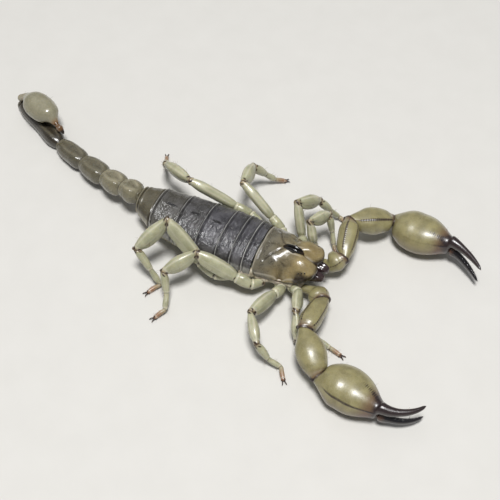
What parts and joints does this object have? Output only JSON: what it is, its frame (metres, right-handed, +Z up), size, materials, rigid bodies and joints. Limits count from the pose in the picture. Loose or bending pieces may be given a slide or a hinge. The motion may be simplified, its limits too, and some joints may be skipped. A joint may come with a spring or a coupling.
{
  "type": "desert scorpion",
  "caption": "Still life-size model of a male desert scorpion resting flat, with swollen pale pincers, dark fingers, a grey plated back and the sting folded over the tail.",
  "frame": {"origin": "on the floor, under the middle of the model's plan", "axes": "+X towards the animal's head, +Y to its left, +Z up"},
  "size_m": [0.0666, 0.029, 0.0081],
  "materials": {
    "carapace_shell": "waxy olive-brown head shield, darker at the front lobes",
    "back_plate": "dark grey-violet plates with a wet leathery gloss and pale rear edges",
    "soft_skin": "pale wrinkled skin between the plates and under the body",
    "leg_cuticle": "pale yellow-green cuticle, slightly translucent, with dark knee spots",
    "tail_cuticle": "olive-grey tail rings with soft ridges",
    "telson_cuticle": "smooth pale cream-olive bulb",
    "sting_horn": "amber sting with a dark tip",
    "claw_cuticle": "glossy olive-tan pincer arms with thin dark ridges and brown netting",
    "black_horn": "glossy black fingers and jaws, fading to brown at the root",
    "eye_gloss": "shiny black eyes"
  },
  "bodies": {
    "root": {"carapace": "carapace_shell", "eye_left": "eye_gloss", "eye_right": "eye_gloss", "chelicera_left": "black_horn", "chelicera_right": "black_horn", "coxosternum": "leg_cuticle", "belly": "soft_skin", "pecten_left": "leg_cuticle", "pecten_right": "leg_cuticle", "tergite_1": "back_plate", "tergite_2": "back_plate", "tergite_3": "back_plate", "tergite_4": "back_plate", "tergite_5": "back_plate", "tergite_6": "back_plate", "tergite_7": "tail_cuticle", "tail_1": "tail_cuticle", "tail_2": "tail_cuticle", "tail_3": "tail_cuticle", "tail_4": "tail_cuticle", "tail_5": "tail_cuticle", "telson_vesicle": "telson_cuticle", "sting": "sting_horn", "palp_left_trochanter": "claw_cuticle", "palp_left_femur": "claw_cuticle", "palp_left_patella": "claw_cuticle", "palp_left_palm": "claw_cuticle", "palp_left_finger": "black_horn", "palp_right_trochanter": "claw_cuticle", "palp_right_femur": "claw_cuticle", "palp_right_patella": "claw_cuticle", "palp_right_palm": "claw_cuticle", "palp_right_finger": "black_horn", "leg_left_1_femur": "leg_cuticle", "leg_left_1_patella": "leg_cuticle", "leg_left_1_foot": "leg_cuticle", "leg_left_2_femur": "leg_cuticle", "leg_left_2_patella": "leg_cuticle", "leg_left_2_foot": "leg_cuticle", "leg_left_3_femur": "leg_cuticle", "leg_left_3_patella": "leg_cuticle", "leg_left_3_foot": "leg_cuticle", "leg_left_4_femur": "leg_cuticle", "leg_left_4_patella": "leg_cuticle", "leg_left_4_foot": "leg_cuticle", "leg_right_1_femur": "leg_cuticle", "leg_right_1_patella": "leg_cuticle", "leg_right_1_foot": "leg_cuticle", "leg_right_2_femur": "leg_cuticle", "leg_right_2_patella": "leg_cuticle", "leg_right_2_foot": "leg_cuticle", "leg_right_3_femur": "leg_cuticle", "leg_right_3_patella": "leg_cuticle", "leg_right_3_foot": "leg_cuticle", "leg_right_4_femur": "leg_cuticle", "leg_right_4_patella": "leg_cuticle", "leg_right_4_foot": "leg_cuticle"}
  },
  "joints": []
}
